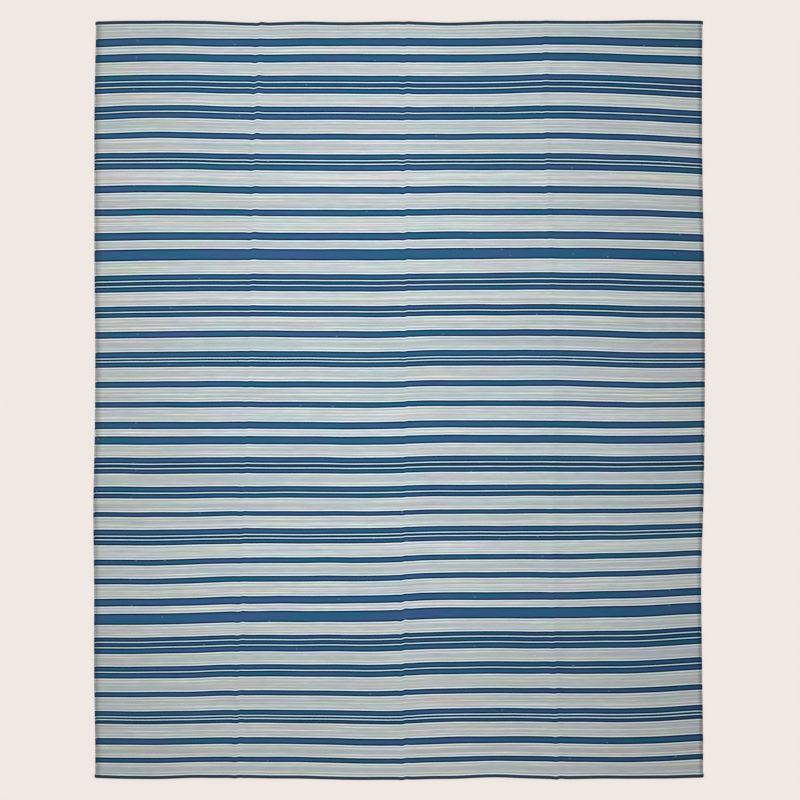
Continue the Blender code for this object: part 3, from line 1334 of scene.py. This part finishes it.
@dataclass
class EndBinding(BlanketPiece):
    """The tape folded over one end, its two lips drawn in along the seam.

    end is 1 at the head and -1 at the foot. The outline of a lip is given as (along, in, pull):
    how far a point stands from the lip's edge or from the seam, how far inside the lip's face,
    and how much of the stitches' pucker it takes.
    """

    end: int
    lip: float = 1.1 * MM
    outer_edge: tuple[Triple, ...] = ((0.15 * MM, 0.25 * MM, 0.6), (0.6 * MM, 0.0, 0.8))
    seam_groove: tuple[Triple, ...] = (
        (-0.7 * MM, 0.0, 0.6), (0.0, 0.3 * MM, 1.0), (0.7 * MM, 0.0, 0.6)
    )
    inner_edge: tuple[Triple, ...] = ((0.1 * MM, 0.2 * MM, 0.6), (0.5 * MM, 0.0, 0.3))
    seam_inset: float = 2.4 * MM
    stitch_pitch: float = 3.2 * MM
    pucker: float = 0.18 * MM
    fold_steps: int = 8
    corner_reach: float = 7 * MM
    corner_draw: float = 1.6 * MM

    def section(self) -> list[Triple]:
        """Return the outline of the folded tape.

        Returns:
            (y, z, pull) points, where pull says how much the stitches move a point.
        """
        edge, seam = self.frame.lip_edge, self.frame.lip_edge + self.seam_inset
        radius = self.frame.tape_height / 2
        fold = self.frame.half_length - radius
        height = self.frame.tape_height
        lower = [(edge + along, inside, pull) for along, inside, pull in self.outer_edge]
        lower += [(seam + along, inside, pull) for along, inside, pull in self.seam_groove]
        turns = [math.pi * (step / self.fold_steps - 0.5) for step in range(self.fold_steps + 1)]
        outer = [(fold + radius * math.cos(a), radius + radius * math.sin(a), 0.0) for a in turns]
        upper = [(y, height - z, pull) for y, z, pull in reversed(lower)]
        under = [(edge + along, self.lip - inside, pull) for along, inside, pull in self.inner_edge]
        under.append((self.frame.half_length - self.lip, self.lip, 0.0))
        over = [(y, height - z, pull) for y, z, pull in under]
        return lower + outer + upper + over + under[::-1]

    def build(self) -> bpy.types.Object:
        """Make the tape, settled.

        Returns:
            The piece.
        """
        section = self.section()
        steps = round(2 * self.frame.tape_half_width / self.stitch_pitch) * 2
        rings = []
        for step in range(steps + 1):
            x = self.frame.tape_half_width * (2 * step / steps - 1)
            drawn = math.cos(2 * math.pi * x / self.stitch_pitch)
            into_corner = 1 - (self.frame.tape_half_width - abs(x)) / self.corner_reach
            fall = self.corner_draw * max(into_corner, 0.0) ** 2
            ring = [
                (x, self.end * (y + self.pucker * pull * drawn - fall), z)
                for y, z, pull in section
            ]
            rings.append(ring[:: self.end])
        points = self.lay.settle(np.array(rings).reshape(-1, 3))
        return new_piece(self.name, points, tube_faces(len(rings), len(section)))


@dataclass
class SeamStitches(BlanketPiece):
    """One row of lockstitches on a face of the tape: 1 for the upper face and -1 for the lower."""

    end: int
    face: int
    seam_inset: float = 2.4 * MM
    pitch: float = 3.2 * MM
    length: float = 2.9 * MM
    thread: float = 0.55 * MM
    end_inset: float = 5 * MM
    sink: float = 0.22 * MM
    dive: float = 1.6
    segments: int = 8
    ring_count: int = 7

    def one_stitch(self) -> bpy.types.Mesh:
        """Model one stitch along X around the origin: a plump strand whose ends dive in.

        Returns:
            Its mesh.
        """
        deselect_everything()
        bpy.ops.mesh.primitive_uv_sphere_add(
            segments=self.segments, ring_count=self.ring_count, radius=0.5
        )
        strand = bpy.context.object
        bpy.ops.object.mode_set(mode="EDIT")
        bpy.ops.mesh.select_all(action="SELECT")
        bpy.ops.transform.rotate(value=math.pi / 2, orient_axis="Y", center_override=(0, 0, 0))
        bpy.ops.transform.resize(value=(self.length, self.thread, self.thread))
        bpy.ops.object.mode_set(mode="OBJECT")
        mesh = strand.data
        points = points_of(mesh)
        bend = (2 * points[:, 0] / self.length) ** 2
        points[:, 2] -= self.dive * self.sink * bend
        mesh.vertices.foreach_set("co", points.ravel())
        bpy.data.objects.remove(strand)
        return mesh

    def build(self) -> bpy.types.Object:
        """Copy the stitch along the seam and settle the row.

        Returns:
            The piece.
        """
        stitch = self.one_stitch()
        shape = points_of(stitch)
        shape[:, 2] *= self.face
        polygons = [tuple(face.vertices)[:: self.face] for face in stitch.polygons]
        bpy.data.meshes.remove(stitch)
        reach = self.frame.tape_half_width - self.end_inset
        count = int(2 * reach / self.pitch)
        seam = self.end * (self.frame.lip_edge + self.seam_inset)
        middle = self.frame.tape_height / 2
        height = middle + self.face * (middle - self.sink)
        points, faces = [], []
        for number in range(count):
            x = self.pitch * (number - (count - 1) / 2)
            points.append(shape + np.array([x, seam, height]))
            start = number * len(shape)
            faces += [tuple(start + corner for corner in face) for face in polygons]
        return new_piece(self.name, self.lay.settle(np.concatenate(points)), faces)


# ---------------------------------------------------------------------------------------------
# The studio
# ---------------------------------------------------------------------------------------------


@dataclass
class Studio:
    """A plain pale floor, soft light and a camera straight above."""

    floor_finish: FloorFinish = FloorFinish()
    floor_size: float = 60.0
    floor_drop: float = 0.2 * MM
    sky_strength: float = 0.25
    view_height: float = 2.147
    view_right: float = 2.7 * MM
    view_up: float = -0.7 * MM
    lens: float = 100.0
    sensor: float = 36.0
    far_clip: float = 200.0
    key_centre: Triple = (-0.115, 0.58, 1.72)
    key_size: Span = (0.58, 4.0)
    key_power: float = 49.5
    wash_strength: float = 2.48
    wash_angle: float = math.radians(80)
    wash_height: float = 3.0

    def lay_floor(self) -> bpy.types.Object:
        """Make the floor.

        Returns:
            The floor.
        """
        deselect_everything()
        bpy.ops.mesh.primitive_plane_add(
            size=self.floor_size, location=(0.0, 0.0, -self.floor_drop)
        )
        floor = bpy.context.object
        floor.name = "studio_floor"
        floor.data.materials.append(self.floor_finish.make())
        return floor

    def set_sky(self) -> None:
        """Light everything evenly, and show the floor's tone past its far edge."""
        world = bpy.data.worlds.new("soft_sky")
        bpy.context.scene.world = world
        world.use_nodes = True
        wiring = Wiring(world.node_tree)
        light = world.node_tree.nodes["Background"]
        light.inputs["Strength"].default_value = self.sky_strength
        wiring.feed(light.inputs["Color"], WHITE)
        seen = wiring.node("ShaderNodeBackground")
        wiring.feed(seen.inputs["Color"], self.floor_finish.colour)
        mix = wiring.node("ShaderNodeMixShader")
        wiring.feed(mix.inputs[0], wiring.node("ShaderNodeLightPath").outputs["Is Camera Ray"])
        wiring.feed(mix.inputs[1], light.outputs[0])
        wiring.feed(mix.inputs[2], seen.outputs[0])
        wiring.feed(world.node_tree.nodes["World Output"].inputs["Surface"], mix.outputs[0])

    def hang_lights(
        self, cloth: Sequence[bpy.types.Object], floor: bpy.types.Object
    ) -> None:
        """Hang a soft box over the cloth and wash the floor evenly.

        Args:
            cloth: the pieces that the soft box lights.
            floor: the floor.
        """
        box = bpy.data.lights.new("soft_box", "AREA")
        box.shape = "RECTANGLE"
        box.size, box.size_y = self.key_size
        box.energy = self.key_power
        hung = self.hang(box, self.key_centre, cloth)
        hung.visible_camera = False
        wash = bpy.data.lights.new("floor_wash", "SUN")
        wash.energy = self.wash_strength
        wash.angle = self.wash_angle
        wash.use_shadow = False
        self.hang(wash, (0.0, 0.0, self.wash_height), [floor])

    def hang(
        self, light: bpy.types.Light, place: Sequence[float], lit: Sequence[bpy.types.Object]
    ) -> bpy.types.Object:
        """Put a light in the scene for some objects only.

        Args:
            light: the light.
            place: where it hangs; it shines straight down.
            lit: the objects that it lights.

        Returns:
            The light's object.
        """
        hung = bpy.data.objects.new(light.name, light)
        hung.location = place
        bpy.context.scene.collection.objects.link(hung)
        lit_by = bpy.data.collections.new(f"lit_by_{light.name}")
        for thing in lit:
            lit_by.objects.link(thing)
        hung.light_linking.receiver_collection = lit_by
        return hung

    def set_camera(self) -> None:
        """Hang the camera straight above the middle of the blanket."""
        camera = bpy.data.cameras.new("overhead_camera")
        camera.lens = self.lens
        camera.sensor_width = self.sensor
        camera.clip_end = self.far_clip
        hung = bpy.data.objects.new("overhead_camera", camera)
        distance = self.view_height * self.lens / self.sensor
        hung.location = (self.view_right, self.view_up, distance)
        bpy.context.scene.collection.objects.link(hung)
        bpy.context.scene.camera = hung

    def set_tones(self) -> None:
        """Show colours as they are, with no film curve."""
        bpy.context.scene.view_settings.view_transform = "Standard"
        bpy.context.scene.view_settings.look = "None"


# ---------------------------------------------------------------------------------------------
# Putting it together
# ---------------------------------------------------------------------------------------------


def plan_pieces(sizes: BlanketFrame) -> list[tuple[BlanketPiece, bpy.types.Material]]:
    """List the blanket's pieces, each with its finish.

    Args:
        sizes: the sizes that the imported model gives.

    Returns:
        (piece, material) pairs: the cloth, then the pieces that are sewn or woven to it.
    """
    lay = BlanketLay(sizes.half_width, sizes.half_length)
    draft = WeaversDraft()
    effects = SharedEffects.make()
    woven = WovenFinish("striped_cotton").make(effects)
    # The cord is the cloth's yarn darkened to 0.72: painted shade for its round sides.
    corded = WovenFinish("selvedge_cotton_painted_shade", tone=0.72, relief=0.2 * MM).make(effects)
    tape = TapeFinish("navy_tape_twill").make(effects)
    thread = ThreadFinish("navy_sewing_thread").make(effects)
    plan = [(WovenField(sizes, lay, "woven_cloth", "woven_field", "field_cloth", draft), woven)]
    for name, side in (("left", -1), ("right", 1)):
        names = (f"{name}_selvedge_cord", f"{name}_selvedge", "selvedge_cord")
        plan.append((Selvedge(sizes, lay, *names, draft, side), corded))
    for name, end in (("head", 1), ("foot", -1)):
        names = (f"{name}_tape", f"{name}_binding", "binding_tape")
        plan.append((EndBinding(sizes, lay, *names, end), tape))
        for strand, face in (("needle", 1), ("bobbin", -1)):
            names = (f"{name}_{strand}_stitches", f"{name}_{strand}_thread", "sewing_thread")
            plan.append((SeamStitches(sizes, lay, *names, end, face), thread))
    return plan


def main() -> None:
    logging.basicConfig(level=logging.INFO, format="%(name)s: %(message)s")
    sizes = BlanketFrame.read()
    pieces = []
    for maker, finish in plan_pieces(sizes):
        piece = maker.build()
        maker.dress(piece, finish)
        LOG.info("%s: %d faces", piece.name, len(piece.data.polygons))
        pieces.append(piece)

    studio = Studio()
    floor = studio.lay_floor()
    studio.set_sky()
    studio.hang_lights(pieces, floor)
    studio.set_camera()
    studio.set_tones()
    deselect_everything()
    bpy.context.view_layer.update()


if __name__ == "__main__":
    main()
